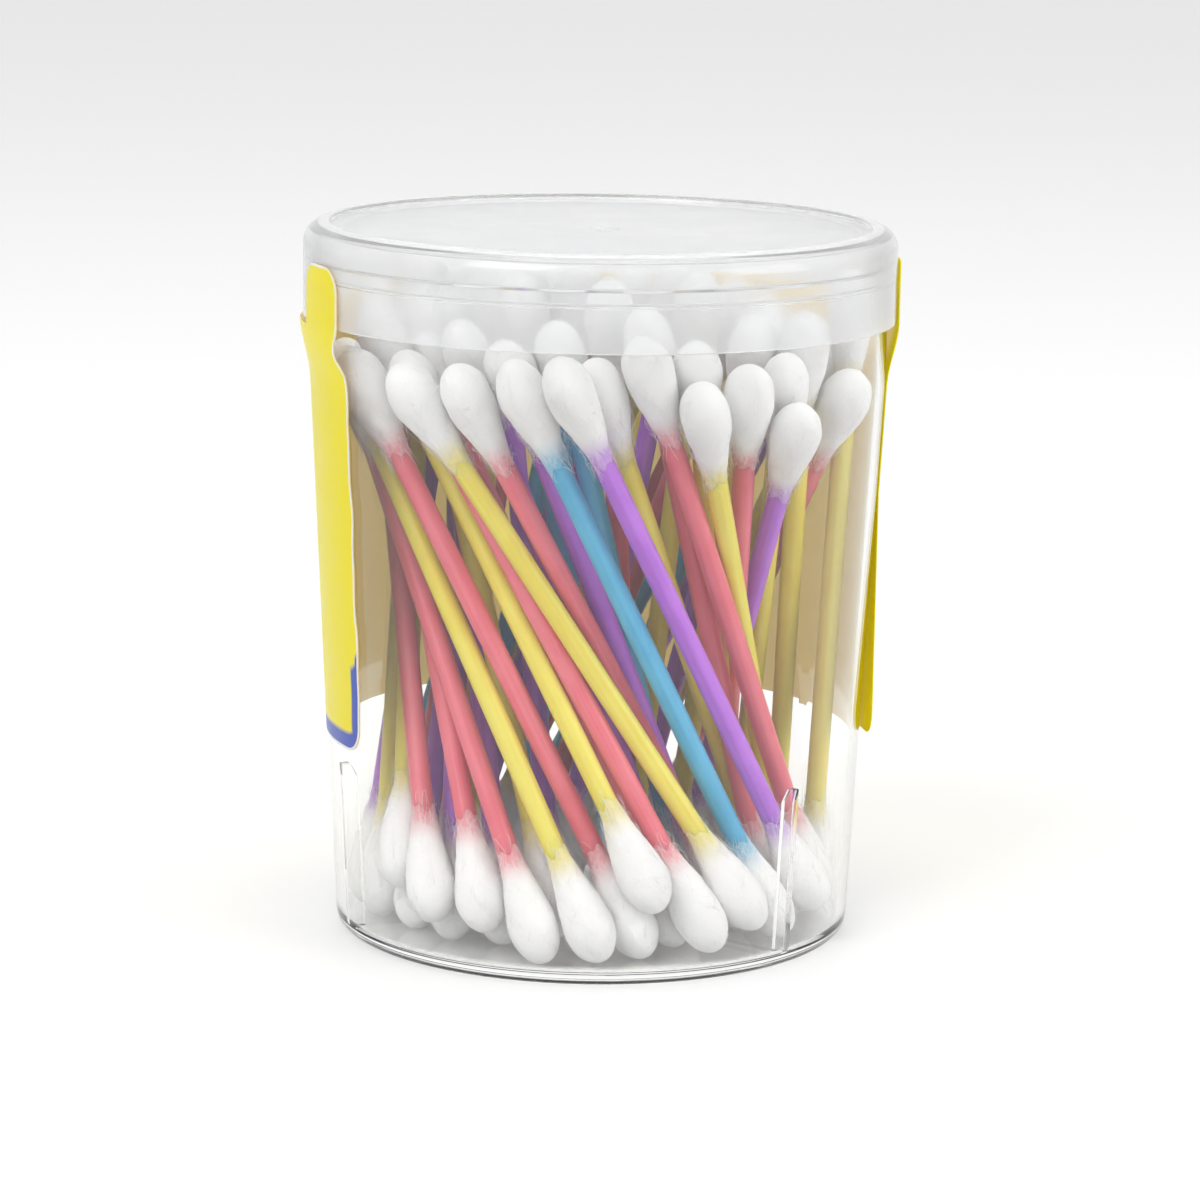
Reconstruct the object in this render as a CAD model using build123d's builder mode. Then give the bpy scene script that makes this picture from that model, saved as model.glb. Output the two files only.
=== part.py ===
from build123d import *
from math import cos, radians, sin, sqrt
import os
import numpy as np

# A clear tub of cotton swabs with a snap-on lid and a wrap-round label, in millimetres.
# The tub stands on z = 0 round the Z axis. A bearing is in degrees from the front, -Y, towards +X.

# Tub
base_radius = 29.0
mouth_radius = 32.05  # outer radius of the straight neck that the lid fits over
neck_height = 16.6
tub_wall = 0.95
floor_thickness = 1.4
swab_headroom = 4.0  # from the top of a swab that stands upright to the rim
base_edge_radius = 1.8
inner_edge_radius = 1.0
bead_drop = 4.8  # from the rim to the underside of the bead
bead_height = 1.7
bead_depth = 0.25
fin_bearings = (49, 169, 289)
fin_height = 18.8
fin_depth = 1.5
fin_thickness = 1.0

# Lid
lid_wall = 0.5
lid_fit = 0.5  # radial gap between the tub's neck and the lid's skirt
lid_seat_gap = 0.1
skirt_height = 10.4
shoulder_radius = 2.4
panel_recess = 0.8
panel_margin = 3.2  # from the outside of the skirt to the edge of the sunken panel
panel_slope = 0.4
groove_depth = 0.12
groove_play = 0.2
gate_radius = 0.45
gate_dimple_radius = 1.9
gate_dimple_depth = 0.2

# Label: one thin printed film round the back, with two seal tabs that reach up the lid
film_thickness = 0.15
film_gap = 0.04
label_bottom = 22.5
label_left_bearing = -57.5
label_right_bearing = 84
label_flare_height = 6.2  # below the skirt, where the film leaves the wall to pass over the lid
label_top_gap = 0.4
loose_start_bearing = 106
loose_lift = 1.3
loose_height = 28
loose_sections = 4
tab_gap = 0.22
tab_angle = 16.5
tab_height = 7.1

# Swabs
swab_length = 74.0
stick_radius = 1.2
stick_bore_radius = 0.6
bud_radius = 2.8
bud_length = 13.5
bud_widest = 4.0  # from the tip
bud_neck = 0.12  # thickness of the cotton where it ends on the stick
bud_cover = 2.0  # cotton beyond the end of the stick
swab_gap = 0.1
fill_share = 0.6  # most of the floor that the buds may take up

# The swabs in front, from the left: colour, then bearing and radius of the foot, how far the foot
# stands above the floor, and bearing and radius of the head.
front_swabs = [
    ("yellow", -76, 25, 0, -131, 28),
    ("violet", -88, 25, 0, -146, 28),
    ("yellow", -54, 25, 6, -122, 26),
    ("violet", -60, 24, 0, -140, 23),
    ("pink", -39, 25, 4, -115, 28),
    ("violet", -43, 23, 0, -128, 21),
    ("pink", -24, 25, 3, -104, 28),
    ("violet", -29, 22, 0, -116, 22),
    ("pink", -8, 25, 1, -93, 28),
    ("yellow", -17, 20, 0, -104, 22),
    ("yellow", 3, 25, 0, -83, 28),
    ("pink", 16, 25, 0, -72, 28),
    ("pink", 28, 20, 0, -82, 23),
    ("yellow", 20, 25, 6, -76, 28),
    ("pink", 37, 25, 1, -62, 28),
    ("yellow", 48, 25, 2, -53, 28),
    ("pink", 60, 21, 0, -38, 28),
    ("violet", 54, 19, 0, -52, 23),
    ("violet", 76, 15, 0, -30, 24),
    ("blue", 62, 22, 0, -22, 28),
    ("violet", 66, 25, 0, -10, 28),
    ("blue", 86, 11, 0, -15, 21),
    ("yellow", 95, 20, 0, 2, 25),
    ("pink", 82, 19, 0, 14, 18),
    ("pink", 80, 25, 0, 6, 25),
    ("yellow", 110, 25, 0, 20, 28),
    ("yellow", 106, 20, 0, 27, 23),
    ("pink", 133, 21, 0, 35, 28),
    ("violet", 150, 25, 0, 49, 28),
    ("pink", 168, 25, 0, 70, 28),
    ("yellow", 138, 22, 0, 56, 26),
    ("yellow", 125, 25, 0, 63, 27),
    ("yellow", 100, 25, 0, 80, 28),
]

# The rows out of sight: how many, then first and last bearing and radius of the feet and the heads
back_rows = [
    (8, 178, 266, 25, 92, 205, 28),
    (9, 150, 300, 18, 60, 230, 20),
    (6, -30, 270, 8, -110, 190, 12),
]
stick_colours = ("pink", "yellow", "violet", "blue")

# How the swabs are spread apart
spread_steps = 420
loose_steps = 180  # the first steps also pull each swab back to its place
pull_back = 0.02
step_share = 1.3
point_pitch = 1.5

tub_height = floor_thickness + swab_length + swab_headroom
taper_top = tub_height - neck_height
wall_draft = (mouth_radius - base_radius) / taper_top
bead_bottom = tub_height - bead_drop
lid_inner_radius = mouth_radius + lid_fit
skirt_radius = lid_inner_radius + lid_wall
lid_top = tub_height + lid_seat_gap + lid_wall
skirt_bottom = lid_top - skirt_height
panel_top = lid_top - panel_recess
panel_underside = panel_top - lid_wall
panel_radius = skirt_radius - panel_margin
tab_bottom = skirt_bottom - label_top_gap
tab_top = tab_bottom + tab_height


def tub_radius(z):
    """Outer radius of the tub's wall at a height."""
    return np.minimum(base_radius + wall_draft * np.maximum(z, 0), mouth_radius)


def around(bearing, radius, z=0.0):
    """The point at a bearing, radius and height."""
    angle = radians(bearing)
    return np.array([radius * sin(angle), -radius * cos(angle), z])


def upright_plane(bearing):
    """The plane through the Z axis at a bearing, with its x outwards and its y up."""
    outwards = around(bearing, 1)
    return Plane(origin=(0, 0, 0), x_dir=tuple(outwards), z_dir=(outwards[1], -outwards[0], 0))


def make_tub():
    """The tub: floor, drafted wall, straight neck with a snap bead, and stacking fins inside."""
    with BuildPart() as tub:
        with BuildSketch(Plane.XZ):
            with BuildLine():
                Polyline(
                    (0, 0),
                    (base_radius, 0),
                    (mouth_radius, taper_top),
                    (mouth_radius, tub_height),
                    (mouth_radius - tub_wall, tub_height),
                    (mouth_radius - tub_wall, taper_top),
                    (tub_radius(floor_thickness) - tub_wall, floor_thickness),
                    (0, floor_thickness),
                    close=True,
                )
            section = make_face()
            foot_corners = section.vertices().filter_by_position(Axis.Y, -1, floor_thickness + 0.1)
            base_corner = foot_corners.sort_by(Axis.X)[-1]
            floor_corner = foot_corners.sort_by(Axis.X)[-2]
            fillet(base_corner, base_edge_radius)
            fillet(floor_corner, inner_edge_radius)
        revolve(axis=Axis.Z)
        with BuildSketch(Plane.XZ):
            with BuildLine():
                Polyline(
                    (mouth_radius - tub_wall / 2, bead_bottom),
                    (mouth_radius, bead_bottom),
                    (mouth_radius + bead_depth, bead_bottom + bead_depth),
                    (mouth_radius + bead_depth, bead_bottom + bead_height - bead_depth),
                    (mouth_radius, bead_bottom + bead_height),
                    (mouth_radius - tub_wall / 2, bead_bottom + bead_height),
                    close=True,
                )
            make_face()
        revolve(axis=Axis.Z)
        for bearing in fin_bearings:
            fin_foot = floor_thickness / 2
            fin_top = floor_thickness + fin_height
            with BuildSketch(upright_plane(bearing)):
                with BuildLine():
                    Polyline(
                        (tub_radius(fin_foot) - tub_wall / 2, fin_foot),
                        (tub_radius(fin_top) - tub_wall / 2, fin_top),
                        (tub_radius(fin_top) - tub_wall - fin_depth / 2, fin_top),
                        (tub_radius(fin_top) - tub_wall - fin_depth, fin_top - fin_depth),
                        (tub_radius(fin_foot) - tub_wall - fin_depth, fin_foot),
                        close=True,
                    )
                make_face()
            extrude(amount=fin_thickness / 2, both=True)
    return tub.part


def make_lid():
    """The lid: a sunken panel with its gate mark, a round shoulder and a thin skirt."""
    inner_top = lid_top - lid_wall
    groove_bottom = bead_bottom - groove_play
    groove_top = bead_bottom + bead_height + groove_play
    with BuildPart() as lid:
        with BuildSketch(Plane.XZ):
            with BuildLine():
                Polyline(
                    (0, panel_top),
                    (gate_radius, panel_top),
                    (gate_radius, panel_top - gate_dimple_depth),
                    (gate_dimple_radius - gate_dimple_depth, panel_top - gate_dimple_depth),
                    (gate_dimple_radius, panel_top),
                    (panel_radius, panel_top),
                    (panel_radius + panel_slope, lid_top),
                    (skirt_radius, lid_top),
                    (skirt_radius, skirt_bottom),
                    (lid_inner_radius, skirt_bottom),
                    (lid_inner_radius, groove_bottom),
                    (lid_inner_radius + groove_depth, groove_bottom + groove_depth),
                    (lid_inner_radius + groove_depth, groove_top - groove_depth),
                    (lid_inner_radius, groove_top),
                    (lid_inner_radius, inner_top),
                    (panel_radius + panel_slope + lid_wall / 2, inner_top),
                    (panel_radius + lid_wall / 2, panel_underside),
                    (0, panel_underside),
                    close=True,
                )
            section = make_face()
            outer_corner = section.vertices().group_by(Axis.Y)[-1].sort_by(Axis.X)[-1]
            inner_corner = section.vertices().group_by(Axis.Y)[-2].sort_by(Axis.X)[-1]
            fillet(outer_corner, shoulder_radius)
            fillet(inner_corner, shoulder_radius - lid_wall)
        revolve(axis=Axis.Z)
    return lid.part


def film_section(bearing, lift=0.0):
    """The cut through the label's film at a bearing, with its foot lifted off the wall."""
    tight_bottom = label_bottom + loose_height
    flare_bottom = skirt_bottom - label_flare_height
    inside = [
        (tub_radius(label_bottom) + film_gap + lift, label_bottom),
        (tub_radius(tight_bottom) + film_gap, tight_bottom),
        (tub_radius(flare_bottom) + film_gap, flare_bottom),
        (skirt_radius + tab_gap, tab_bottom),
        (skirt_radius + tab_gap, tab_top),
    ]
    outside = [(radius + film_thickness, z) for radius, z in reversed(inside)]
    with BuildSketch(upright_plane(bearing)) as section:
        with BuildLine():
            Polyline(*inside, *outside, close=True)
        make_face()
    return section.sketch


def make_label():
    """The label: a film round the back of the tub, its loose right end, and two seal tabs."""
    loose_angle = loose_start_bearing - label_right_bearing
    shares = [step / (loose_sections - 1) for step in range(loose_sections)]
    loose_cuts = [film_section(loose_start_bearing - s * loose_angle, loose_lift * s**2) for s in shares]
    with BuildPart() as label:
        revolve(
            film_section(loose_start_bearing),
            axis=Axis.Z,
            revolution_arc=360 + label_left_bearing - loose_start_bearing,
        )
        loft(loose_cuts)
        with BuildSketch(upright_plane(label_right_bearing + tab_angle)):
            with Locations((skirt_radius, tab_bottom)):
                Rectangle(shoulder_radius, 2 * tab_height, align=(Align.MIN, Align.MIN))
        between_tabs = 360 + label_left_bearing - label_right_bearing - 2 * tab_angle
        revolve(axis=Axis.Z, revolution_arc=between_tabs, mode=Mode.SUBTRACT)
    return label.part


def bud_radius_at(depth):
    """Radius of a swab at a depth from its nearer tip."""
    cap = bud_radius * np.sqrt(1 - (1 - np.clip(depth / bud_widest, 0, 1)) ** 2)
    share = np.clip((depth - bud_widest) / (bud_length - bud_widest), 0, 1)
    neck = stick_radius + bud_neck
    taper = bud_radius + (neck - bud_radius) * (3 * share**2 - 2 * share**3)
    on_stick = np.where(depth > bud_length, stick_radius, taper)
    return np.where(depth < bud_widest, cap, on_stick)


def make_upright_swab():
    """The pieces of one swab that stands on its foot at the origin: a tubular stick and two wads."""
    neck = stick_radius + bud_neck
    third = (bud_length - bud_widest) / 3
    quarter_round = 4 * (sqrt(2) - 1) / 3
    with BuildPart() as stick:
        with BuildSketch(Plane.XY.offset(bud_cover)):
            Circle(stick_radius)
            Circle(stick_bore_radius, mode=Mode.SUBTRACT)
        extrude(amount=swab_length - 2 * bud_cover)
    with BuildPart() as wad:
        with BuildSketch(Plane.XZ):
            with BuildLine():
                Bezier(
                    (0, 0),
                    (quarter_round * bud_radius, 0),
                    (bud_radius, bud_widest - quarter_round * bud_widest),
                    (bud_radius, bud_widest),
                )
                Bezier(
                    (bud_radius, bud_widest),
                    (bud_radius, bud_widest + third),
                    (neck, bud_length - third),
                    (neck, bud_length),
                )
                Polyline(
                    (neck, bud_length),
                    (stick_radius, bud_length),
                    (stick_radius, bud_cover),
                    (0, bud_cover),
                    (0, 0),
                )
            make_face()
        revolve(axis=Axis.Z)
    turned_over = Plane(origin=(0, 0, swab_length), z_dir=(0, 0, -1)).location
    return {"stick": stick.part, "foot_wad": wad.part, "head_wad": turned_over * wad.part}


def place_swab(name, pieces, foot, head):
    """A copy of the swab's pieces that leans from its foot to its head."""
    place = Plane(origin=tuple(foot), z_dir=tuple(head - foot)).location
    placed = []
    for label, piece in pieces.items():
        moved = place * piece
        moved.label = label
        placed.append(moved)
    return Compound(label=name, children=placed)


def planned_swabs():
    """Every swab as colour, then bearing, radius and lift of its foot, bearing and radius of its head."""
    swabs = list(front_swabs)
    for count, first_foot, last_foot, foot_radius, first_head, last_head, head_radius in back_rows:
        for place in range(count):
            share = place / (count - 1)
            foot_bearing = first_foot + share * (last_foot - first_foot)
            head_bearing = first_head + share * (last_head - first_head)
            colour = stick_colours[len(swabs) % len(stick_colours)]
            swabs.append((colour, foot_bearing, foot_radius, 0, head_bearing, head_radius))
    floor_radius = base_radius - tub_wall
    most = int(fill_share * floor_radius**2 / bud_radius**2)
    return swabs[:most]


def planned_tips(swabs):
    """The planned tips of the feet and of the heads."""
    feet = []
    heads = []
    for _, foot_bearing, foot_radius, lift, head_bearing, head_radius in swabs:
        foot = around(foot_bearing, foot_radius, floor_thickness + swab_gap + lift)
        head = around(head_bearing, head_radius, foot[2])
        reach = np.linalg.norm(head - foot)
        head[2] += np.sqrt(swab_length**2 - reach**2)
        feet.append(foot)
        heads.append(head)
    return np.array(feet), np.array(heads)


def low_side(spans):
    """How far the round end of each leaning swab reaches beyond its tip, up or down."""
    upright = bud_widest * spans[:, 2] / np.linalg.norm(spans, axis=1)
    leaning = bud_radius * np.hypot(spans[:, 0], spans[:, 1]) / np.linalg.norm(spans, axis=1)
    return np.hypot(upright, leaning) - upright


def neighbour_shifts(points, point_radius, feet, heads):
    """How far each point along each swab must move to clear the axis of every other swab."""
    along = (heads - feet) / np.linalg.norm(heads - feet, axis=1)[:, None]
    offset = points[:, :, None, :] - feet
    depth = np.clip(np.einsum("spok,ok->spo", offset, along), 0, swab_length)
    apart = offset - depth[..., None] * along
    distance = np.linalg.norm(apart, axis=-1) + 1e-9
    tip_depth = np.clip(np.minimum(depth, swab_length - depth), point_pitch / 2, None)
    overlap = point_radius[:, None] + bud_radius_at(tip_depth) + swab_gap - distance
    own = np.arange(len(feet))
    overlap[own, :, own] = 0
    swab, point, other = np.nonzero(overlap > 0)
    half = apart[swab, point, other] * (overlap / distance / 2)[swab, point, other][:, None]
    return swab, point, other, depth[swab, point, other], half


def wall_shifts(points, point_radius):
    """How far each point must move to stay inside the tub's wall and clear of its fins."""
    radius = np.hypot(points[..., 0], points[..., 1]) + 1e-9
    room = tub_radius(points[..., 2]) - tub_wall - swab_gap - point_radius
    inwards = points * np.array([-1, -1, 0]) / radius[..., None]
    shifts = inwards * np.maximum(radius - room, 0)[..., None]
    for bearing in fin_bearings:
        outwards = around(bearing, 1)
        sideways = around(bearing + 90, 1)
        out = points @ outwards
        side = points @ sideways
        short_of_fin = np.maximum(tub_radius(points[..., 2]) - tub_wall - fin_depth - out, 0)
        distance = np.hypot(short_of_fin, side) + 1e-9
        overlap = point_radius + fin_thickness / 2 + swab_gap - distance
        beside = (out > 0) & (points[..., 2] < floor_thickness + fin_height + bud_radius)
        overlap = np.where(beside, np.maximum(overlap, 0), 0)
        away = side[..., None] * sideways - short_of_fin[..., None] * outwards
        shifts += away * (overlap / distance)[..., None]
    return shifts


def spread_swabs(feet, heads):
    """Spread the swabs until none overlaps another, the tub or its fins."""
    planned_feet = feet.copy()
    planned_heads = heads.copy()
    depths = np.arange(point_pitch / 2, swab_length, point_pitch)
    shares = depths / swab_length
    point_radius = bud_radius_at(np.minimum(depths, swab_length - depths))
    for step in range(spread_steps):
        points = feet[:, None] + shares[:, None] * (heads - feet)[:, None]
        swab, point, other, depth, half = neighbour_shifts(points, point_radius, feet, heads)
        walls = wall_shifts(points, point_radius)
        wall_swab, wall_point = np.nonzero(np.abs(walls).max(axis=-1) > 0)
        moved = np.concatenate([swab, other, wall_swab])
        share = np.concatenate([shares[point], depth / swab_length, shares[wall_point]])
        shift = np.concatenate([half, -half, walls[wall_swab, wall_point]])
        for ends, pull in ((feet, 1 - share), (heads, share)):
            total = np.zeros_like(ends)
            weight = np.zeros(len(ends))
            np.add.at(total, moved, shift * pull[:, None])
            np.add.at(weight, moved, pull)
            ends += step_share * total / np.maximum(weight, 1)[:, None]
        if step < loose_steps:
            feet += pull_back * (planned_feet - feet)
            heads[:, :2] += pull_back * (planned_heads - heads)[:, :2]
        span = heads - feet
        length = np.linalg.norm(span, axis=1)[:, None]
        stretch = span * (1 - swab_length / length) / 2
        feet += stretch
        heads -= stretch
        feet[:, 2] = np.maximum(feet[:, 2], floor_thickness + swab_gap / 2 + low_side(span))
        heads[:, 2] = np.minimum(heads[:, 2], panel_underside - swab_gap - low_side(span))
    return feet, heads


os.makedirs("parts", exist_ok=True)

tub = make_tub()
tub.label = "tub"
export_step(tub, "parts/tub.step")

lid = make_lid()
lid.label = "lid"
export_step(lid, "parts/lid.step")

label = make_label()
label.label = "label"
export_step(label, "parts/label.step")

swabs = planned_swabs()
feet, heads = spread_swabs(*planned_tips(swabs))
swab_pieces = make_upright_swab()
for number, (swab, foot, head) in enumerate(zip(swabs, feet, heads), start=1):
    name = f"swab_{number:02d}_{swab[0]}"
    export_step(place_swab(name, swab_pieces, foot, head), f"parts/{name}.step")
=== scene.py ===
import math

import bpy
import numpy as np
from mathutils import Matrix, Vector


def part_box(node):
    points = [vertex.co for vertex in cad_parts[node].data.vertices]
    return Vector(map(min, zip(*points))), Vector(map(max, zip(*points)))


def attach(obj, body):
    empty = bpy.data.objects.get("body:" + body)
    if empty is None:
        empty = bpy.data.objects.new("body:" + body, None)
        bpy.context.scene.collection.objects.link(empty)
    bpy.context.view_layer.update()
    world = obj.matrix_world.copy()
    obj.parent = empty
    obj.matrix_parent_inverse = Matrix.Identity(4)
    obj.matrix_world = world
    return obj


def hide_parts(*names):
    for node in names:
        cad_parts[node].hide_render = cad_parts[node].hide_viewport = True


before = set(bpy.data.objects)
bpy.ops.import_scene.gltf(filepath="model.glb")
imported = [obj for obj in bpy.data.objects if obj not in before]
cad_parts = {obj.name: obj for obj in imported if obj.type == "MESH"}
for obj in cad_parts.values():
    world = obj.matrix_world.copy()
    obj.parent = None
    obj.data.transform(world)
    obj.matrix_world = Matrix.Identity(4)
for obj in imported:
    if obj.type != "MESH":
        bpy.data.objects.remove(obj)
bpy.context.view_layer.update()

# The looks of a clear tub of cotton swabs. Lengths in the values below are in millimetres, and
# MM turns them into the frame's metres. A bearing is in degrees from the front, -Y, towards +X.
MM = 0.001
rng = np.random.default_rng(7)

tub_high = np.array(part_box("tub")[1]) / MM
lid_low, lid_high = (np.array(corner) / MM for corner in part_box("lid"))
label_low, label_high = (np.array(corner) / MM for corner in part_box("label"))

# Tub
round_segments = 288
rim_z = tub_high[2]
bead_depth = 0.25
mouth_radius = tub_high[0] - bead_depth
base_radius = 29.0
neck_height = 16.6
taper_top = rim_z - neck_height
wall_draft = (mouth_radius - base_radius) / taper_top
tub_wall = 0.95
floor_thickness = 1.4
bead_drop = 4.8
bead_height = 1.7
fin_bearings = (49, 169, 289)
fin_height = 18.8
fin_depth = 1.5
fin_thickness = 1.0

# Lid
skirt_radius = lid_high[0]
lid_wall = 0.5
skirt_bottom = lid_low[2]
lid_top = lid_high[2]
shoulder_radius = 2.4
panel_recess = 0.8
panel_radius = skirt_radius - 3.2
panel_slope = 0.4

# Label
label_left = -57.5
label_right = 84.0
tab_angle = 16.5
tab_corner = 3.0
label_bottom = label_low[2]
tab_bottom = skirt_bottom - 0.4
tab_top = label_high[2]
flare_height = 6.2
film_thickness = 0.15
film_gap = 0.04
tab_gap = 0.22
loose_start = 106.0
loose_lift = 1.3
loose_height = 28.0
label_corner = 3.2
border_margin = 0.28
border_width = 1.5
border_end = 34.0  # height at which the border up the left edge ends, on a slant

# Swabs
stick_radius = 1.2
bud_radius = 2.8
bud_length = 13.5
bud_widest = 4.0
bud_cover = 2.0
bud_neck = 0.12
front_swabs = 33  # the first swabs, which stand in front, have more stray fibres


def link(obj):
    bpy.context.scene.collection.objects.link(obj)
    return obj


def new_mesh(name, vertices, faces, smooth_angle=None):
    """An object made from vertices in millimetres."""
    mesh = bpy.data.meshes.new(name)
    mesh.from_pydata((np.asarray(vertices, float) * MM).tolist(), [], [tuple(f) for f in faces])
    mesh.validate()
    mesh.shade_smooth()
    if smooth_angle:
        mesh.set_sharp_from_angle(angle=math.radians(smooth_angle))
    return link(bpy.data.objects.new(name, mesh))


def put(obj, body, slot, *nodes):
    """Let a piece ride on a body and stand for CAD nodes, which are hidden; the slot is not used.
    """
    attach(obj, body)
    if nodes:
        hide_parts(*nodes)
    return obj


def tub_radius(z):
    """Outer radius of the tub's wall at a height."""
    return np.minimum(base_radius + wall_draft * np.maximum(z, 0), mouth_radius)


def around(bearing, radius, z=0.0):
    """The point at a bearing, radius and height."""
    angle = np.radians(bearing)
    x, y, z = np.broadcast_arrays(radius * np.sin(angle), -radius * np.cos(angle), z)
    return np.stack([x, y, z], axis=-1)


def rounded(corners, steps=6):
    """An outline of (radius, z) points, with an arc at each corner that gives a third value."""
    outline = []
    count = len(corners)
    for i, (x, y, *fillet) in enumerate(corners):
        here = np.array([x, y], float)
        if not fillet:
            outline.append(here)
            continue
        before = np.array(corners[i - 1][:2], float) - here
        after = np.array(corners[(i + 1) % count][:2], float) - here
        before /= np.linalg.norm(before)
        after /= np.linalg.norm(after)
        half = math.acos(np.clip(before @ after, -1, 1)) / 2
        middle = (before + after) / np.linalg.norm(before + after)
        centre = here + middle * fillet[0] / math.sin(half)
        start = here + before * fillet[0] / math.tan(half) - centre
        end = here + after * fillet[0] / math.tan(half) - centre
        for s in np.linspace(0, 1, steps + 1):
            spoke = start * (1 - s) + end * s
            outline.append(centre + spoke * fillet[0] / np.linalg.norm(spoke))
    return np.array(outline)


def lathe(name, outline, smooth_angle=35):
    """A closed outline turned round the Z axis; its first and last points may lie on the axis."""
    on_axis = outline[:, 0] < 1e-6
    bearings = np.arange(round_segments) * 360 / round_segments
    vertices = []
    rings = []
    for (radius, z), pole in zip(outline, on_axis):
        start = len(vertices)
        if pole:
            vertices.append((0, 0, z))
            rings.append([start] * round_segments)
        else:
            vertices.extend(around(bearings, radius, z))
            rings.append(list(range(start, start + round_segments)))
    faces = []
    pairs = list(zip(rings, rings[1:]))
    if not (on_axis[0] and on_axis[-1]):
        pairs.append((rings[-1], rings[0]))
    for low, high in pairs:
        for i in range(round_segments):
            j = (i + 1) % round_segments
            corner_ids = dict.fromkeys((low[i], low[j], high[j], high[i]))
            if len(corner_ids) > 2:
                faces.append(tuple(corner_ids))
    return new_mesh(name, vertices, faces, smooth_angle)


# Materials


def node_material(name):
    material = bpy.data.materials.new(name)
    material.use_nodes = True
    tree = material.node_tree
    tree.nodes.clear()
    output = tree.nodes.new("ShaderNodeOutputMaterial")
    shader = tree.nodes.new("ShaderNodeBsdfPrincipled")
    tree.links.new(shader.outputs[0], output.inputs["Surface"])
    return material, tree, shader, output


def add_node(tree, kind, inputs=None, **settings):
    node = tree.nodes.new(kind)
    for key, value in settings.items():
        setattr(node, key, value)
    for key, value in (inputs or {}).items():
        if isinstance(value, bpy.types.NodeSocket):
            tree.links.new(value, node.inputs[key])
        else:
            node.inputs[key].default_value = value
    return node


def math_node(tree, operation, *values):
    node = add_node(tree, "ShaderNodeMath", dict(enumerate(values)), operation=operation)
    return node.outputs[0]


def remap(tree, value, low, high, to_low=0.0, to_high=1.0):
    """Value taken smoothly from the range low to high into another range."""
    node = add_node(
        tree,
        "ShaderNodeMapRange",
        {"Value": value, "From Min": low, "From Max": high, "To Min": to_low, "To Max": to_high},
        interpolation_type="SMOOTHSTEP",
    )
    return node.outputs[0]


def mix_colour(tree, factor, a, b):
    node = add_node(tree, "ShaderNodeMix", data_type="RGBA")
    for key, value in ((0, factor), (6, a), (7, b)):
        if isinstance(value, bpy.types.NodeSocket):
            tree.links.new(value, node.inputs[key])
        else:
            node.inputs[key].default_value = value
    return node.outputs[2]


def noise(tree, vector, scale, detail=3.0, roughness=0.5, stretch=None):
    """A noise in the frame's own scale; stretch multiplies that scale along X, Y and Z."""
    if stretch:
        vector = add_node(
            tree, "ShaderNodeMapping", {"Vector": vector, "Scale": stretch}
        ).outputs[0]
    node = add_node(
        tree,
        "ShaderNodeTexNoise",
        {"Vector": vector, "Scale": scale, "Detail": detail, "Roughness": roughness},
    )
    return node.outputs[0]


def object_place(tree):
    return add_node(tree, "ShaderNodeTexCoord").outputs["Object"]


def bump(tree, shader, height, distance, strength=1.0, normal=None):
    inputs = {"Height": height, "Distance": distance, "Strength": strength}
    if normal is not None:
        inputs["Normal"] = normal
    node = add_node(tree, "ShaderNodeBump", inputs)
    if shader is not None:
        tree.links.new(node.outputs[0], shader.inputs["Normal"])
    return node.outputs[0]


def let_lamps_through(tree, shader, output, tint):
    """Shadow rays pass the clear plastic, tinted, so that the lamps light what is inside."""
    path = add_node(tree, "ShaderNodeLightPath")
    clear = add_node(tree, "ShaderNodeBsdfTransparent", {"Color": tint})
    mix = add_node(tree, "ShaderNodeMixShader", {0: path.outputs["Is Shadow Ray"]})
    tree.links.new(shader.outputs[0], mix.inputs[1])
    tree.links.new(clear.outputs[0], mix.inputs[2])
    tree.links.new(mix.outputs[0], output.inputs["Surface"])


def clear_plastic():
    material, tree, shader, output = node_material("clear_plastic")
    place = object_place(tree)
    shader.inputs["Base Color"].default_value = (0.985, 0.985, 0.98, 1)
    shader.inputs["Transmission Weight"].default_value = 1.0
    shader.inputs["IOR"].default_value = 1.42
    smudges = noise(tree, place, 90, 4, 0.6)
    tree.links.new(remap(tree, smudges, 0.45, 0.75, 0.0, 0.04), shader.inputs["Roughness"])
    flow = noise(tree, place, 60, 2, 0.4, stretch=(1, 1, 0.25))
    bump(tree, shader, flow, 0.0002, 0.1)
    let_lamps_through(tree, shader, output, (0.93, 0.93, 0.92, 1))
    return material


def lid_plastic():
    material, tree, shader, output = node_material("lid_plastic")
    place = object_place(tree)
    from_axis = add_node(
        tree, "ShaderNodeVectorMath", {0: place, 1: (1, 1, 0)}, operation="MULTIPLY"
    ).outputs[0]
    radius = add_node(
        tree, "ShaderNodeVectorMath", {0: from_axis}, operation="LENGTH"
    ).outputs["Value"]
    panel_edge = (panel_radius * MM, (panel_radius + 0.4) * MM)
    frosted = remap(tree, radius, *panel_edge, 1.0, 0.0)
    tree.links.new(
        mix_colour(tree, frosted, (0.975, 0.98, 0.985, 1), (0.90, 0.905, 0.91, 1)),
        shader.inputs["Base Color"],
    )
    tree.links.new(
        remap(tree, frosted, 0.0, 1.0, 0.78, 0.62), shader.inputs["Transmission Weight"]
    )
    shader.inputs["IOR"].default_value = 1.4
    grain = noise(tree, place, 2600, 3, 0.6)
    patches = noise(tree, place, 130, 3, 0.5)
    rough = remap(tree, patches, 0.35, 0.7, 0.08, 0.14)
    tree.links.new(
        math_node(tree, "MULTIPLY_ADD", frosted, 0.26, rough), shader.inputs["Roughness"]
    )
    soft = bump(tree, None, patches, 0.0004, 0.06)
    bump(tree, shader, grain, 0.00003, 0.35, soft)
    let_lamps_through(tree, shader, output, (0.8, 0.8, 0.8, 1))
    return material


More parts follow.
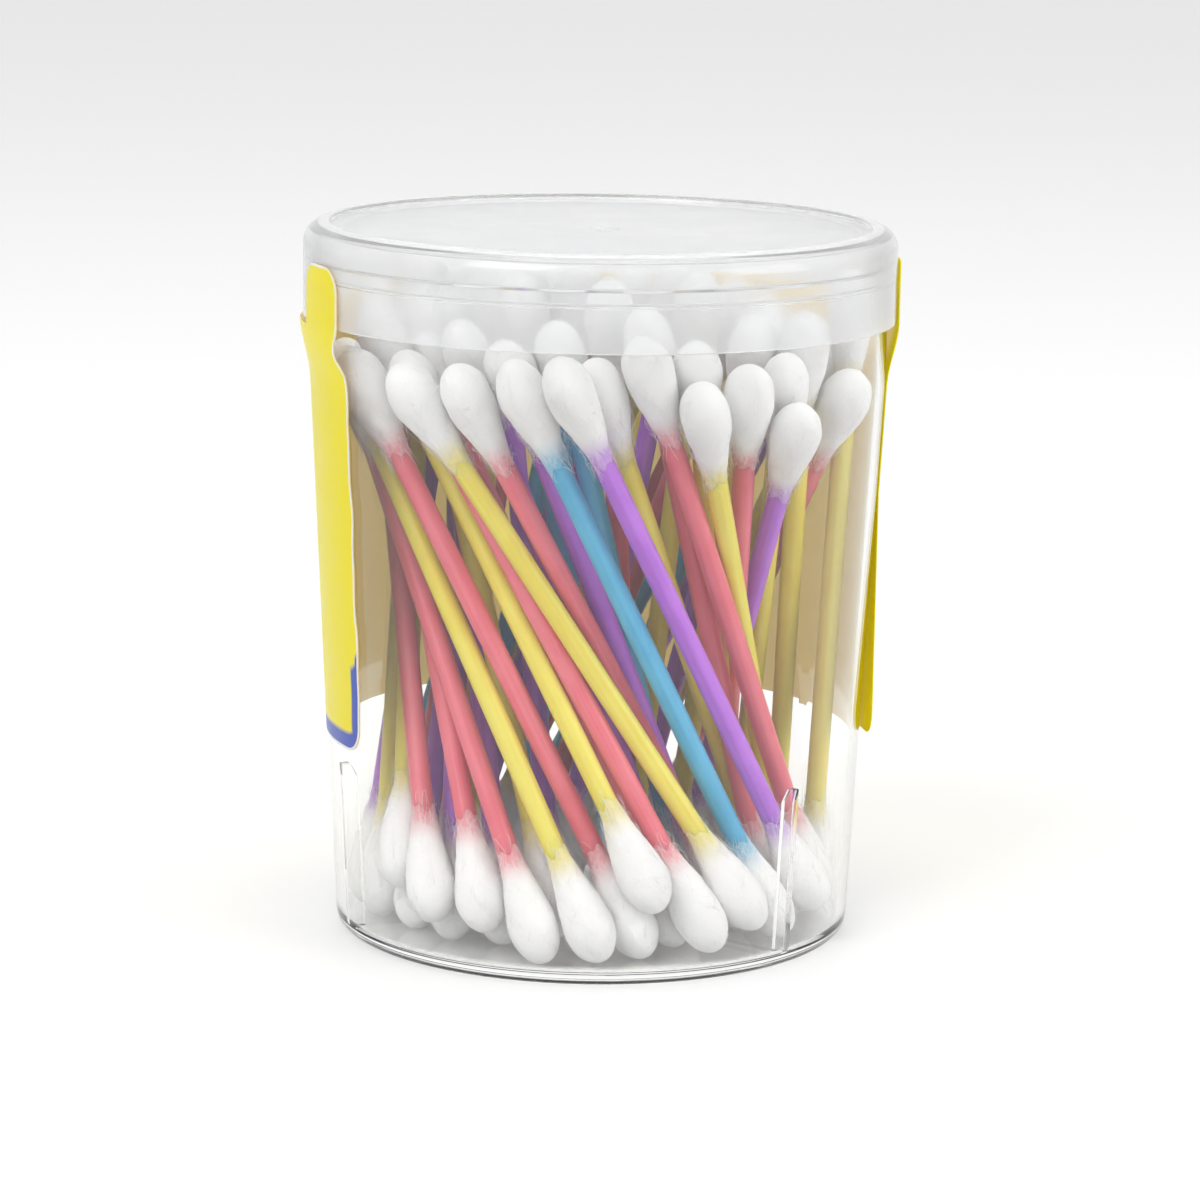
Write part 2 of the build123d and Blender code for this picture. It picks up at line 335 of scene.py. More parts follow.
def film_print():
    """Yellow print with a blue border; the attributes give the distance from the film's edge."""
    material, tree, shader, _ = node_material("label_print")
    edge = add_node(tree, "ShaderNodeAttribute", attribute_name="edge_mm").outputs["Fac"]
    border = add_node(tree, "ShaderNodeAttribute", attribute_name="border").outputs["Fac"]
    place = object_place(tree)
    mottle = noise(tree, place, 300, 3, 0.6)
    yellow = mix_colour(tree, mottle, (0.83, 0.68, 0.0, 1), (0.87, 0.73, 0.0, 1))
    blue = mix_colour(tree, mottle, (0.045, 0.085, 0.40, 1), (0.065, 0.11, 0.46, 1))
    inked = mix_colour(tree, border, yellow, blue)
    bare = remap(tree, edge, border_margin - 0.04, border_margin + 0.04, 1.0, 0.0)
    colour = mix_colour(tree, bare, inked, (0.80, 0.80, 0.76, 1))
    tree.links.new(colour, shader.inputs["Base Color"])
    shader.inputs["Coat Weight"].default_value = 0.12
    shader.inputs["Coat Roughness"].default_value = 0.15
    shader.inputs["Specular IOR Level"].default_value = 0.2
    tree.links.new(remap(tree, mottle, 0.3, 0.7, 0.32, 0.42), shader.inputs["Roughness"])
    shader.inputs["Subsurface Weight"].default_value = 0.5
    shader.inputs["Subsurface Radius"].default_value = (1.0, 0.9, 0.2)
    shader.inputs["Subsurface Scale"].default_value = 0.0006
    waves = noise(tree, place, 70, 2, 0.4, stretch=(1, 1, 0.5))
    fine = noise(tree, place, 1500, 2, 0.5)
    soft = bump(tree, None, waves, 0.0006, 0.12)
    bump(tree, shader, fine, 0.00001, 0.2, soft)
    return material


def film_back():
    """The unprinted side of the film, seen through the tub's wall; towards the loose end its colour
    is painted yellow, a painted backlight for the light that shines through the print from behind.
    """
    material, tree, shader, _ = node_material("label_back")
    loose = add_node(tree, "ShaderNodeAttribute", attribute_name="loose").outputs["Fac"]
    place = object_place(tree)
    cloud = noise(tree, place, 110, 3, 0.5)
    beige = mix_colour(tree, cloud, (0.95, 0.52, 0.26, 1), (0.98, 0.64, 0.37, 1))
    # Painted light: towards the loose end the back is painted yellow, as painted backlight shining
    # through the yellow print, not a colour the film has there.
    colour = mix_colour(tree, loose, beige, (0.80, 0.60, 0.0, 1))
    tree.links.new(colour, shader.inputs["Base Color"])
    tree.links.new(remap(tree, cloud, 0.3, 0.7, 0.45, 0.6), shader.inputs["Roughness"])
    shader.inputs["Specular IOR Level"].default_value = 0.15
    shader.inputs["Subsurface Weight"].default_value = 1.0
    shader.inputs["Subsurface Radius"].default_value = (1.0, 0.85, 0.6)
    shader.inputs["Subsurface Scale"].default_value = 0.001
    fine = noise(tree, place, 900, 3, 0.6)
    bump(tree, shader, fine, 0.00002, 0.2)
    return material


# The two shades that each colour of stick varies between
STICK_COLOURS = {
    "pink": (0.80, 0.20, 0.25, 1),
    "yellow": (0.82, 0.70, 0.13, 1),
    "violet": (0.50, 0.18, 0.74, 1),
    "blue": (0.11, 0.46, 0.68, 1),
}
STICK_DEEP = {
    "pink": (0.74, 0.14, 0.19, 1),
    "yellow": (0.77, 0.62, 0.08, 1),
    "violet": (0.42, 0.13, 0.65, 1),
    "blue": (0.07, 0.38, 0.61, 1),
}


def stick_plastic(colour):
    material, tree, shader, _ = node_material(f"stick_{colour}")
    place = object_place(tree)
    drawn = noise(tree, place, 1400, 2, 0.5, stretch=(1, 1, 0.02))
    cloud = noise(tree, place, 160, 2, 0.5)
    streak = math_node(tree, "MULTIPLY_ADD", drawn, 0.6, math_node(tree, "MULTIPLY", cloud, 0.4))
    share = remap(tree, streak, 0.38, 0.62)
    tree.links.new(
        mix_colour(tree, share, STICK_DEEP[colour], STICK_COLOURS[colour]),
        shader.inputs["Base Color"],
    )
    tree.links.new(remap(tree, cloud, 0.3, 0.7, 0.3, 0.42), shader.inputs["Roughness"])
    shader.inputs["Subsurface Weight"].default_value = 0.85
    shader.inputs["Subsurface Radius"].default_value = (1.0, 0.7, 0.7)
    shader.inputs["Subsurface Scale"].default_value = 0.0014
    shader.inputs["IOR"].default_value = 1.49
    bump(tree, shader, drawn, 0.00002, 0.35)
    return material


def cotton(colour):
    """Wound cotton, through which the stick shows where the wad thins out."""
    material, tree, shader, _ = node_material(f"cotton_{colour}")
    thin = add_node(tree, "ShaderNodeAttribute", attribute_name="thin").outputs["Fac"]
    place = object_place(tree)
    wound = noise(tree, place, 1100, 6, 0.75, stretch=(1, 1, 1.6))
    strands = noise(tree, place, 2600, 4, 0.8, stretch=(1.0, 1.0, 0.3))
    cloud = noise(tree, place, 260, 3, 0.6)
    white = mix_colour(tree, cloud, (0.90, 0.90, 0.90, 1), (0.96, 0.96, 0.955, 1))
    shade = STICK_COLOURS[colour][:3]
    tinted = tuple(0.42 * c + 0.58 * 0.88 for c in shade) + (1,)
    deep = tuple(0.82 * c + 0.18 * 0.85 for c in shade) + (1,)
    ragged = math_node(tree, "MULTIPLY_ADD", strands, 1.3, math_node(tree, "ADD", thin, -0.65))
    colour_one = mix_colour(tree, remap(tree, thin, 0.05, 0.8), white, tinted)
    colour_two = mix_colour(tree, remap(tree, ragged, 0.55, 1.05), colour_one, deep)
    tree.links.new(colour_two, shader.inputs["Base Color"])
    tree.links.new(remap(tree, wound, 0.3, 0.7, 0.85, 1.0), shader.inputs["Roughness"])
    shader.inputs["Subsurface Weight"].default_value = 0.3
    shader.inputs["Subsurface Radius"].default_value = (1.0, 0.95, 0.9)
    shader.inputs["Subsurface Scale"].default_value = 0.0008
    shader.inputs["Specular IOR Level"].default_value = 0.15
    shader.inputs["Sheen Weight"].default_value = 0.25
    shader.inputs["Sheen Roughness"].default_value = 0.6
    first = bump(tree, None, wound, 0.0003, 0.55)
    bump(tree, shader, strands, 0.00014, 0.65, first)
    return material


def fibre_white():
    material, tree, shader, _ = node_material("cotton_fibre")
    place = object_place(tree)
    cloud = noise(tree, place, 400, 2, 0.5)
    tree.links.new(
        mix_colour(tree, cloud, (0.78, 0.78, 0.77, 1), (0.9, 0.9, 0.89, 1)),
        shader.inputs["Base Color"],
    )
    tree.links.new(remap(tree, cloud, 0.3, 0.7, 0.7, 0.9), shader.inputs["Roughness"])
    bump(tree, shader, noise(tree, place, 5000, 2), 0.000005, 0.3)
    return material


# Tub and lid


def make_tub():
    inner_foot = tub_radius(floor_thickness) - tub_wall
    bead_z = rim_z - bead_drop
    outline = rounded(
        [
            (0, 0),
            (base_radius, 0, 1.8),
            (mouth_radius, taper_top, 40),
            (mouth_radius, bead_z),
            (mouth_radius + bead_depth, bead_z + bead_depth, 0.2),
            (mouth_radius + bead_depth, bead_z + bead_height - bead_depth, 0.2),
            (mouth_radius, bead_z + bead_height),
            (mouth_radius, rim_z, 0.25),
            (mouth_radius - tub_wall, rim_z, 0.25),
            (mouth_radius - tub_wall, taper_top, 40),
            (inner_foot, floor_thickness, 1.0),
            (0, floor_thickness),
        ]
    )
    return lathe("tub_shell", outline)


def make_fin(bearing):
    """A stacking fin: a slim upright blade whose edges are rounded, sunk into the wall."""
    foot = floor_thickness - 0.4
    top = floor_thickness + fin_height
    outline = rounded(
        [
            (tub_radius(foot) - tub_wall * 0.6, foot),
            (tub_radius(top) - tub_wall * 0.6, top),
            (tub_radius(top) - tub_wall - fin_depth * 0.5, top, 0.4),
            (tub_radius(top) - tub_wall - fin_depth, top - fin_depth, 0.6),
            (tub_radius(foot) - tub_wall - fin_depth, foot),
        ],
        steps=4,
    )
    middle = outline.mean(axis=0)
    layers = ((-0.5, 0.14), (-0.36, 0.0), (0.36, 0.0), (0.5, 0.14))
    vertices = []
    for side, inset in layers:
        pulled = outline + (middle - outline) * np.minimum(
            inset / np.maximum(np.linalg.norm(middle - outline, axis=1), 1e-6), 1
        )[:, None]
        across = around(bearing + 90, side * fin_thickness)
        vertices.extend(around(bearing, pulled[:, 0], pulled[:, 1]) + across)
    count = len(outline)
    faces = [tuple(range(count)), tuple(range(4 * count - 1, 3 * count - 1, -1))]
    for layer in range(len(layers) - 1):
        for i in range(count):
            j = (i + 1) % count
            a = layer * count
            faces.append((a + j, a + i, a + count + i, a + count + j))
    return new_mesh(f"fin_{bearing}", vertices, faces, 40)


def join_fins(tub):
    """The fins become one with the wall."""
    for bearing in fin_bearings:
        fin = make_fin(bearing)
        union = tub.modifiers.new("union", "BOOLEAN")
        union.operation = "UNION"
        union.solver = "EXACT"
        union.object = fin
        bpy.context.view_layer.update()
        whole = bpy.data.meshes.new_from_object(
            tub.evaluated_get(bpy.context.evaluated_depsgraph_get())
        )
        tub.modifiers.clear()
        tub.data = whole
        bpy.data.objects.remove(fin)
    tub.data.shade_smooth()
    tub.data.set_sharp_from_angle(angle=math.radians(35))


def make_lid():
    inner_radius = skirt_radius - lid_wall
    bead_z = rim_z - bead_drop
    underside = lid_top - panel_recess - lid_wall
    outline = rounded(
        [
            (0, lid_top - panel_recess),
            (0.4, lid_top - panel_recess, 0.1),
            (0.55, lid_top - panel_recess - 0.2, 0.1),
            (1.6, lid_top - panel_recess - 0.2, 0.3),
            (2.1, lid_top - panel_recess, 0.3),
            (panel_radius - 1.3, lid_top - panel_recess),
            (panel_radius - 1.15, lid_top - panel_recess - 0.1, 0.08),
            (panel_radius - 0.85, lid_top - panel_recess - 0.1, 0.08),
            (panel_radius - 0.7, lid_top - panel_recess),
            (panel_radius, lid_top - panel_recess, 0.2),
            (panel_radius + panel_slope, lid_top, 0.3),
            (skirt_radius, lid_top, shoulder_radius),
            (skirt_radius, skirt_bottom, 0.12),
            (inner_radius, skirt_bottom, 0.12),
            (inner_radius, bead_z - 0.2),
            (inner_radius + 0.12, bead_z - 0.08, 0.05),
            (inner_radius + 0.12, bead_z + bead_height + 0.08, 0.05),
            (inner_radius, bead_z + bead_height + 0.2),
            (inner_radius, lid_top - lid_wall, shoulder_radius - lid_wall),
            (panel_radius + panel_slope + lid_wall / 2, lid_top - lid_wall, 0.2),
            (panel_radius + lid_wall / 2, underside, 0.2),
            (0, underside),
        ],
        steps=8,
    )
    return lathe("lid_shell", outline[::-1])


# Label


def ease(value, low, high):
    s = np.clip((value - low) / (high - low), 0, 1)
    return s * s * (3 - 2 * s)


def left_edge(z):
    """Bearing of the label's front left edge, which draws in where the film leaves the lid."""
    neck = ease(z, 64.3, 66.8) * 3.0 - ease(z, 66.8, 69.8) * 2.3
    wave = 0.25 * np.sin(z * 0.42) + 0.15 * np.sin(z * 0.9 + 1)
    return label_left - neck + wave * (1 - ease(z, 58, 64))


def film_radius(bearing, z):
    """Radius of the film's printed side."""
    on_wall = tub_radius(z) + film_gap + film_thickness
    on_lid = skirt_radius + tab_gap + film_thickness
    flare = ease(z, tab_bottom - flare_height - 0.6, tab_bottom + 0.4)
    span = loose_start - label_right
    loose = np.clip((loose_start - bearing) / span, 0, 1) ** 2
    lift = loose_lift * loose * np.clip(1 - (z - label_bottom) / loose_height, 0, 1)
    return on_wall + (on_lid - on_wall) * flare + lift


def spaced(low, high, step):
    return np.linspace(low, high, max(2, int(round(abs(high - low) / step)) + 1))


def make_label(print_material, back_material):
    """The film, as rows up the wall of columns round it, and two tabs that carry its columns on."""
    whole = 360 + label_left - label_right
    degree = math.radians(1) * 31.0
    near = np.concatenate([[0], np.geomspace(0.12, 4.0, 16)]) / degree
    left_tab = np.unique(np.concatenate([near, spaced(4 / degree, tab_angle, 0.9)]))
    middle = spaced(tab_angle, whole - tab_angle, 2.0)
    columns = np.unique(np.round(np.concatenate([left_tab, middle, whole - left_tab]), 5))
    rows = np.concatenate(
        [[0], np.geomspace(0.1, 4.0, 14), spaced(4.8, tab_bottom - label_bottom, 0.8)]
    )
    heights = label_bottom + rows
    vertices = []
    edge = []
    border = []
    loose = []

    def add_point(share, z, outset):
        """A point at a share of the way round from the left edge, outset from the outline."""
        first = 360 + left_edge(z)
        bearing = first + share * (label_right - first)
        radius = film_radius(bearing, z)
        vertices.append(around(bearing, radius, z))
        from_left_mm = share * whole * degree
        from_right_mm = (1 - share) * whole * degree
        edge.append(outset)
        diagonal = z - border_end + from_left_mm * 1.3
        along_side = from_left_mm < from_right_mm and diagonal < 0
        inked = outset < border_width + border_margin and (z < 26.5 or along_side)
        border.append(1.0 if inked else 0.0)
        # This mask marks the loose end, where the film's back gets its painted yellow backlight.
        loose.append(float(ease(loose_start - bearing, 6, 16)))

    def corner_distance(side, up):
        """Distance from the film's outline near a rounded bottom corner."""
        if side < label_corner and up < label_corner:
            return label_corner - math.hypot(label_corner - side, label_corner - up)
        return min(side, up)

    for z in heights:
        for column in columns:
            share = column / whole
            side = min(share, 1 - share) * whole * degree
            dip = max(0.0, label_corner - side)
            foot = label_corner - math.sqrt(max(label_corner**2 - dip**2, 0))
            squash = 1 - foot / (tab_bottom - label_bottom)
            level = label_bottom + foot + (z - label_bottom) * squash
            add_point(share, level, corner_distance(side, level - label_bottom))
    count = len(columns)
    faces = []
    for row in range(len(heights) - 1):
        for i in range(count - 1):
            a = row * count + i
            faces.append((a, a + count, a + count + 1, a + 1))

    top_row = (len(heights) - 1) * count
    tab_rise = tab_top - tab_bottom
    turns = np.radians(np.linspace(0, 90, 9))
    tab_rows = [(z, 0.0) for z in spaced(0.6, tab_rise - tab_corner, 0.7)]
    tab_rows += [
        (tab_rise - tab_corner + tab_corner * math.sin(t), tab_corner * (1 - math.cos(t)))
        for t in turns[1:]
    ]
    tab_width = tab_angle * degree
    tabs = (
        (0, np.searchsorted(columns, tab_angle)),
        (np.searchsorted(columns, whole - tab_angle - 1e-6), count - 1),
    )
    for first, last in tabs:
        below = list(range(top_row + first, top_row + last + 1))
        for rise, inset in tab_rows:
            ids = []
            for i in range(first, last + 1):
                t = (columns[i] - columns[first]) / (columns[last] - columns[first])
                squeezed = inset / tab_width + t * (1 - 2 * inset / tab_width)
                column = columns[first] + squeezed * (columns[last] - columns[first])
                share = column / whole
                ids.append(len(vertices))
                side = min(t, 1 - t) * tab_width
                add_point(share, tab_bottom + rise, min(side + 0.02, tab_rise - rise + 0.02))
            for i in range(len(ids) - 1):
                faces.append((below[i], ids[i], ids[i + 1], below[i + 1]))
            below = ids
    label = new_mesh("label_film", np.array(vertices), faces)
    for name, values in (("edge_mm", edge), ("border", border), ("loose", loose)):
        attribute = label.data.attributes.new(name, "FLOAT", "POINT")
        attribute.data.foreach_set("value", np.array(values, np.float32))
    label.data.materials.append(print_material)
    label.data.materials.append(back_material)
    thick = label.modifiers.new("film", "SOLIDIFY")
    thick.thickness = film_thickness * MM
    thick.offset = -1
    thick.use_even_offset = True
    thick.material_offset = 1
    thick.material_offset_rim = 1
    return label


# Swabs


def bud_profile(depth):
    """Radius of a wad at a depth from its tip."""
    cap = bud_radius * np.sqrt(1 - (1 - np.clip(depth / bud_widest, 0, 1)) ** 2)
    share = np.clip((depth - bud_widest) / (bud_length - bud_widest), 0, 1)
    neck = stick_radius + bud_neck
    taper = bud_radius + (neck - bud_radius) * (3 * share**2 - 2 * share**3)
    return np.where(depth < bud_widest, cap, taper)


# Lumps of the wads: waves round the wad, turn for each millimetre along it, and height
WAD_LUMPS = (
    (2, 0.22, 0.050),
    (3, 0.5, 0.035),
    (5, 0.9, 0.02),
    (4, 1.7, 0.02),
    (9, 1.1, 0.012),
)


def cotton_wad(seed):
    """One wad with its tip at the origin and its stick along +Z: points, faces and thinness."""
    draw = np.random.default_rng(seed)
    segments, rings = 40, 40
    turn = np.arange(segments) * 2 * math.pi / segments
    share = np.linspace(0, 1, rings)[1:]
    depth = bud_length * (share**1.35)
    angle, deep = np.meshgrid(turn, depth)
    lumps = np.zeros_like(angle)
    for waves, pitch, size in WAD_LUMPS:
        phase_a, phase_b = draw.uniform(0, 2 * math.pi, 2)
        lumps += size * np.sin(waves * angle + pitch * deep + phase_a)
        lumps += size * 0.7 * np.sin(-waves * angle + pitch * 1.4 * deep + phase_b)
    lumps += draw.normal(0, 0.008, angle.shape)
    fade = np.clip(deep / 1.5, 0, 1) * (1 - 0.75 * ease(deep, 9.5, 13))
    end = deep + 0.45 * ease(deep, 10.5, 13.5) * (
        np.sin(2 * angle + draw.uniform(0, 6)) + 0.7 * np.sin(5 * angle + draw.uniform(0, 6)) - 0.8
    )
    radius = (bud_profile(deep) - 0.09) + lumps * fade
    radius = np.maximum(radius, 0.02)
    on_stick = np.where(deep > bud_widest, stick_radius + 0.02, 0)
    last = deep > bud_length - 1e-6
    radius = np.where(last, stick_radius * 0.97, np.maximum(radius, on_stick))
    points = np.stack([radius * np.cos(angle), radius * np.sin(angle), end], axis=-1)
    points = points.reshape(-1, 3)
    vertices = np.vstack([[0, 0, 0.04], points])
    faces = []
    for j in range(segments):
        faces.append((0, 1 + (j + 1) % segments, 1 + j))
    for ring in range(len(depth) - 1):
        for j in range(segments):
            a = 1 + ring * segments + j
            b = 1 + ring * segments + (j + 1) % segments
            faces.append((a, b, b + segments, a + segments))
    cap = 1 + (len(depth) - 1) * segments
    faces.append(tuple(cap + j for j in range(segments)))
    thin = np.concatenate([[0], ease(deep, 7.6, 13.4).ravel()])
    return vertices, faces, thin


def fibre(points, thickness, sides=3):
    """A thin strand along its points: vertices and faces."""
    points = np.asarray(points, float)
    along = np.gradient(points, axis=0)
    along /= np.linalg.norm(along, axis=1)[:, None] + 1e-9
    helper = np.where(np.abs(along[:, 2:]) < 0.9, [[0, 0, 1.0]], [[1.0, 0, 0]])
    side = np.cross(along, helper)
    side /= np.linalg.norm(side, axis=1)[:, None] + 1e-9
    up = np.cross(along, side)
    width = thickness * np.linspace(1, 0.4, len(points))[:, None]
    rings = [
        points + width * (math.cos(t) * side + math.sin(t) * up)
        for t in np.arange(sides) * 2 * math.pi / sides
    ]
    vertices = np.stack(rings, axis=1).reshape(-1, 3)
    faces = []
    for i in range(len(points) - 1):
        for j in range(sides):
            a = i * sides
            k = (j + 1) % sides
            faces.append((a + j, a + k, a + sides + k, a + sides + j))
    faces.append(tuple(range(sides - 1, -1, -1)))
    faces.append(tuple((len(points) - 1) * sides + j for j in range(sides)))
    return vertices, faces


def wad_fuzz(seed, count):
    """Stray fibres that stand off a wad, most of them where it thins out."""
    draw = np.random.default_rng(seed)
    vertices = []
    faces = []
    for _ in range(count):
        depth = draw.choice([draw.uniform(0.6, 9), draw.uniform(9, 13.4)], p=[0.55, 0.45])
        turn = draw.uniform(0, 2 * math.pi)
        swing = draw.normal(0, 0.5)
        slope = draw.normal(0.3, 1.0)
        reach = draw.uniform(0.8, 2.4)
        lift = draw.uniform(0.05, 0.5)
        steps = np.linspace(0, 1, 5)
        depths = np.clip(depth + slope * reach * steps, 0.4, 14.6)
        turns = turn + (swing + draw.normal(0, 0.4) * steps) * steps * reach / 2.5
        base = np.maximum(bud_profile(np.minimum(depths, bud_length)), stick_radius)
        radii = base - 0.04 + lift * np.sin(steps * math.pi * draw.uniform(0.45, 1.0))
        radii = np.minimum(radii, bud_radius + 0.3)
        line = np.stack([radii * np.cos(turns), radii * np.sin(turns), depths], axis=-1)
        strand, strand_faces = fibre(line, draw.uniform(0.016, 0.030))
        start = len(vertices)
        vertices.extend(strand)
        faces.extend(tuple(start + i for i in f) for f in strand_faces)
    return np.array(vertices), faces


def make_stick(name, length):
    """A drawn tube, open inside, with slightly uneven walls."""
    segments, bore = 24, 0.6
    turn = np.arange(segments) * 2 * math.pi / segments
    low, high = bud_cover, length - bud_cover
    outer = [(stick_radius, z) for z in np.linspace(low, high, 15)]
    inner = [(bore, z) for z in np.linspace(high, low, 3)]
    rings = outer + inner
    vertices = []
    for radius, z in rings:
        ripple = radius * (1 - 0.006 * (1 + np.sin(2 * turn + z * 0.07)))
        ring = [ripple * np.cos(turn), ripple * np.sin(turn), np.full_like(turn, z)]
        vertices.extend(np.stack(ring, axis=-1))
    faces = []
    for r in range(len(rings)):
        a = r * segments
        b = (r + 1) % len(rings) * segments
        for j in range(segments):
            k = (j + 1) % segments
            faces.append((a + j, a + k, b + k, b + j))
    return new_mesh(name, vertices, faces, 50)


def swab_place(node):
    """Where the CAD has a swab, as the matrix for one built from its foot up +Z, and its length."""
    points = np.array([v.co for v in node.data.vertices], float)
    centre = points.mean(axis=0)
    axis = np.linalg.svd(points - centre, full_matrices=False)[2][0]
    if axis[2] < 0:
        axis = -axis
    along = (points - centre) @ axis
    foot = centre + axis * along.min()
    turn = Vector((0, 0, 1)).rotation_difference(Vector(axis)).to_matrix().to_4x4()
    return Matrix.Translation(foot) @ turn, (along.max() - along.min()) / MM


def make_swabs(stick_materials, cotton_materials, fibre_material):
    names = sorted(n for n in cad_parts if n.startswith("swab_"))
    for number, name in enumerate(names):
        colour = name.split("_")[2]
        place, length = swab_place(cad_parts[name])
        place = place @ Matrix.Rotation(number * 2.4, 4, "Z")
        stick = make_stick(f"{name}_stick", length)
        stick.data.materials.append(stick_materials[colour])
        stick.matrix_world = place
        put(stick, "tub", f"stick_{colour}", name)
        vertices = []
        faces = []
        thin = []
        kinds = []
        for end in (0, 1):
            seed = 100 + number * 10 + end
            wad, wad_faces, wad_thin = cotton_wad(seed)
            fuzz, fuzz_faces = wad_fuzz(seed + 5, 150 if number < front_swabs else 20)
            for piece, piece_faces, piece_thin, kind in (
                (wad, wad_faces, wad_thin, 0),
                (fuzz, fuzz_faces, np.zeros(len(fuzz)), 1),
            ):
                piece = piece.copy()
                if end:
                    piece[:, 2] = length - piece[:, 2]
                    piece[:, 1] = -piece[:, 1]
                start = len(vertices)
                vertices.extend(piece)
                faces.extend(tuple(start + i for i in f) for f in piece_faces)
                thin.extend(piece_thin)
                kinds.extend([kind] * len(piece_faces))
        wads = new_mesh(f"{name}_cotton", vertices, faces)
        attribute = wads.data.attributes.new("thin", "FLOAT", "POINT")
        attribute.data.foreach_set("value", np.array(thin, np.float32))
        wads.data.materials.append(cotton_materials[colour])
        wads.data.materials.append(fibre_material)
        wads.data.polygons.foreach_set("material_index", kinds)
        wads.matrix_world = place
        put(wads, "tub", "cotton", name)


def make_floor_fibres(material):
    """Loose fibres that have dropped on the tub's floor."""
    vertices = []
    faces = []
    for _ in range(90):
        bearing = rng.uniform(0, 360)
        start = around(bearing, 27.0 * math.sqrt(rng.uniform(0.15, 1)), 0)
        heading = rng.uniform(0, 2 * math.pi)
        bend = rng.normal(0, 1.2)
        steps = np.linspace(0, 1, 6)
        reach = rng.uniform(1.2, 4.0)
        headings = heading + bend * steps
        line = start + np.stack(
            [
                np.cumsum(np.cos(headings)) * reach / 6,
                np.cumsum(np.sin(headings)) * reach / 6,
                floor_thickness + 0.05 + rng.uniform(0, 0.5) * np.sin(steps * math.pi),
            ],
            axis=-1,
        )
        over = np.hypot(line[:, 0], line[:, 1]).max() / 27.4
        if over > 1:
            line[:, :2] /= over
        strand, strand_faces = fibre(line, rng.uniform(0.012, 0.02))
        offset = len(vertices)
        vertices.extend(strand)
        faces.extend(tuple(offset + i for i in f) for f in strand_faces)
    fibres = new_mesh("floor_fibres", vertices, faces)
    fibres.data.materials.append(material)
    return fibres


tub = make_tub()
join_fins(tub)
tub.data.materials.clear()
tub.data.materials.append(clear_plastic())
put(tub, "tub", "clear_plastic", "tub")

lid = make_lid()
lid.data.materials.append(lid_plastic())
put(lid, "lid", "lid_plastic", "lid")

label = make_label(film_print(), film_back())
put(label, "tub", "label_film", "label")

fibre_material = fibre_white()
make_swabs(
    {c: stick_plastic(c) for c in STICK_COLOURS},
    {c: cotton(c) for c in STICK_COLOURS},
    fibre_material,
)
put(make_floor_fibres(fibre_material), "tub", "cotton")


# Floor, light and camera


def seen_directly(tree):
    """1 for camera, mirror and glass rays, which see the background as white."""
    path = add_node(tree, "ShaderNodeLightPath")
    seen = math_node(tree, "MAXIMUM", path.outputs["Is Camera Ray"], path.outputs["Is Glossy Ray"])
    return math_node(tree, "MAXIMUM", seen, path.outputs["Is Transmission Ray"])


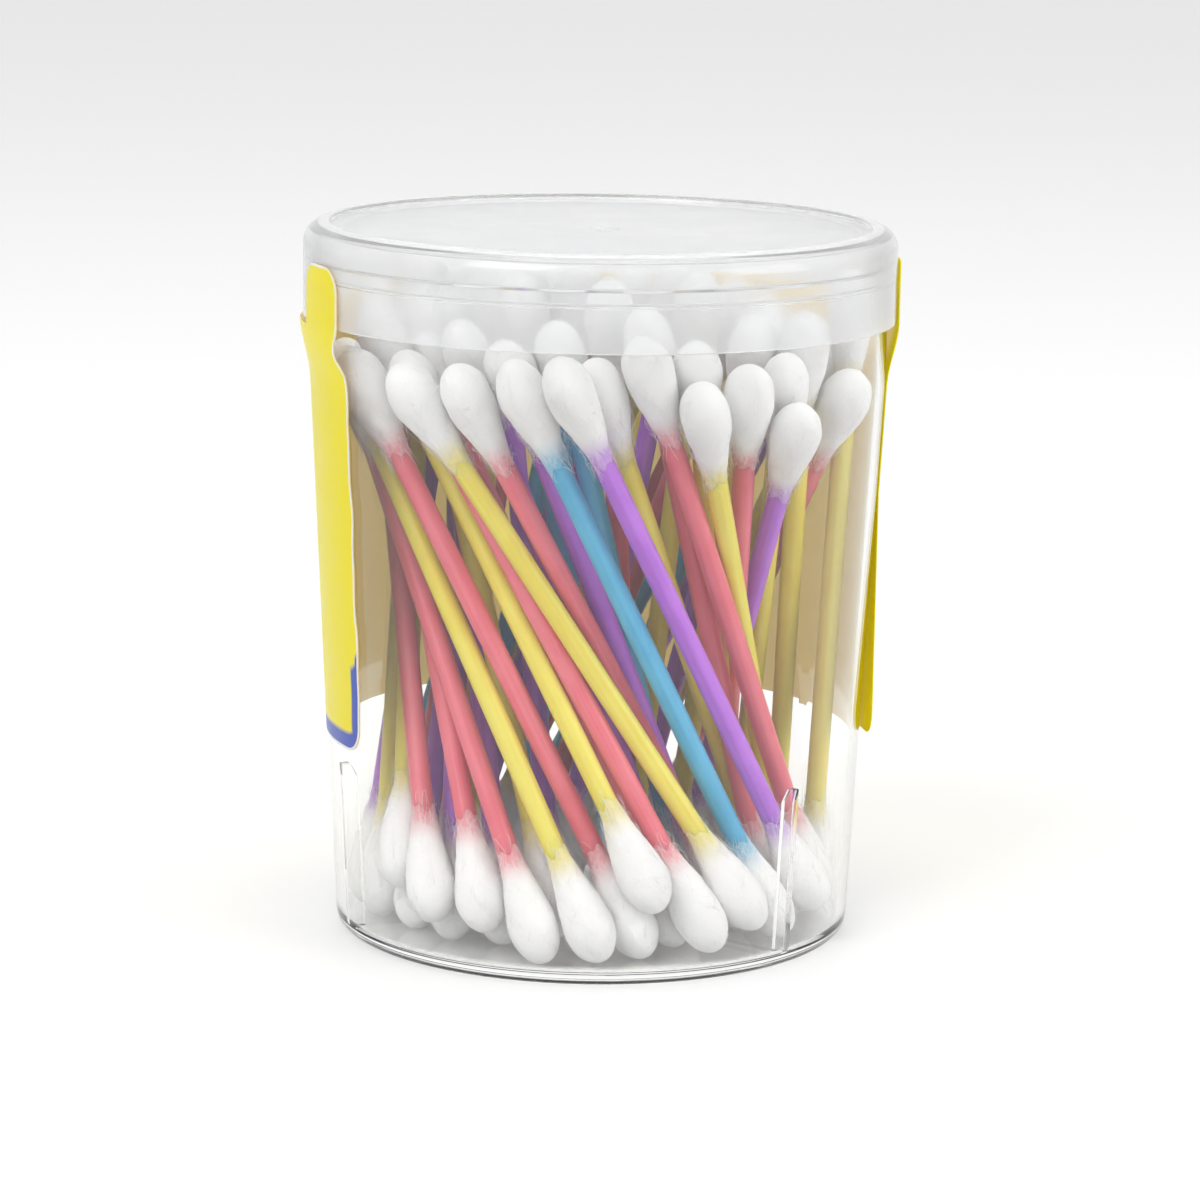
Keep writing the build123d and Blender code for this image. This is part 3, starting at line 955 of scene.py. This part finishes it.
def make_floor():
    """A wide pale floor, which keeps the tub's shadow and else shows as white."""
    size = 6.0
    mesh = bpy.data.meshes.new("floor")
    corners = [(-size, -size, 0), (size, -size, 0), (size, size, 0), (-size, size, 0)]
    mesh.from_pydata(corners, [], [(0, 1, 2, 3)])
    floor = link(bpy.data.objects.new("floor", mesh))
    floor.location.z = -0.00002
    material, tree, shader, output = node_material("pale_floor")
    shader.inputs["Base Color"].default_value = (0.9, 0.9, 0.9, 1)
    shader.inputs["Roughness"].default_value = 0.6
    shader.inputs["Specular IOR Level"].default_value = 0.2
    seen = seen_directly(tree)
    glow = add_node(tree, "ShaderNodeEmission", {"Color": (1, 1, 1, 1), "Strength": 0.14})
    dark = add_node(tree, "ShaderNodeEmission", {"Color": (1, 1, 1, 1), "Strength": 0.0})
    pick = add_node(tree, "ShaderNodeMixShader", {0: seen})
    tree.links.new(dark.outputs[0], pick.inputs[1])
    tree.links.new(glow.outputs[0], pick.inputs[2])
    total = add_node(tree, "ShaderNodeAddShader")
    tree.links.new(shader.outputs[0], total.inputs[0])
    tree.links.new(pick.outputs[0], total.inputs[1])
    tree.links.new(total.outputs[0], output.inputs["Surface"])
    mesh.materials.append(material)


def make_world():
    world = bpy.data.worlds.new("studio")
    bpy.context.scene.world = world
    world.use_nodes = True
    tree = world.node_tree
    tree.nodes.clear()
    output = tree.nodes.new("ShaderNodeOutputWorld")
    seen = seen_directly(tree)
    soft = add_node(tree, "ShaderNodeBackground", {"Color": (1, 1, 1, 1), "Strength": 0.66})
    white = add_node(tree, "ShaderNodeBackground", {"Color": (1, 1, 1, 1), "Strength": 1.0})
    mix = add_node(tree, "ShaderNodeMixShader", {0: seen})
    tree.links.new(soft.outputs[0], mix.inputs[1])
    tree.links.new(white.outputs[0], mix.inputs[2])
    tree.links.new(mix.outputs[0], output.inputs["Surface"])


def make_lamp(name, place, target, width, height, power):
    lamp = bpy.data.lights.new(name, "AREA")
    lamp.shape = "RECTANGLE"
    lamp.size = width
    lamp.size_y = height
    lamp.energy = power
    obj = link(bpy.data.objects.new(name, lamp))
    obj.location = place
    obj.rotation_euler = (Vector(target) - Vector(place)).to_track_quat("-Z", "Y").to_euler()
    return obj


def make_camera():
    """The camera stands half a metre in front, above the lid, and looks down at the tub."""
    camera = bpy.data.cameras.new("camera")
    camera.sensor_width = 36
    camera.lens = 135.29
    camera.shift_x = 0.0038
    camera.clip_start = 0.01
    obj = link(bpy.data.objects.new("camera", camera))
    tilt = Matrix.Rotation(math.radians(90 - 10.9926), 4, "X")
    roll = Matrix.Rotation(math.radians(0.8617), 4, "Z")
    obj.matrix_world = Matrix.Translation((0, -0.5, 0.13429)) @ tilt @ roll
    bpy.context.scene.camera = obj


make_floor()
make_world()
make_lamp("key", (-0.45, -0.55, 0.75), (0, 0, 0.04), 0.5, 0.5, 3.2)
make_lamp("fill", (0.75, -0.3, 0.35), (0, 0, 0.04), 0.5, 0.5, 1.6)
make_lamp("top", (0.05, 0.1, 0.9), (0, 0, 0.04), 0.6, 0.6, 1.7)
make_camera()
bpy.context.scene.view_settings.view_transform = "Standard"
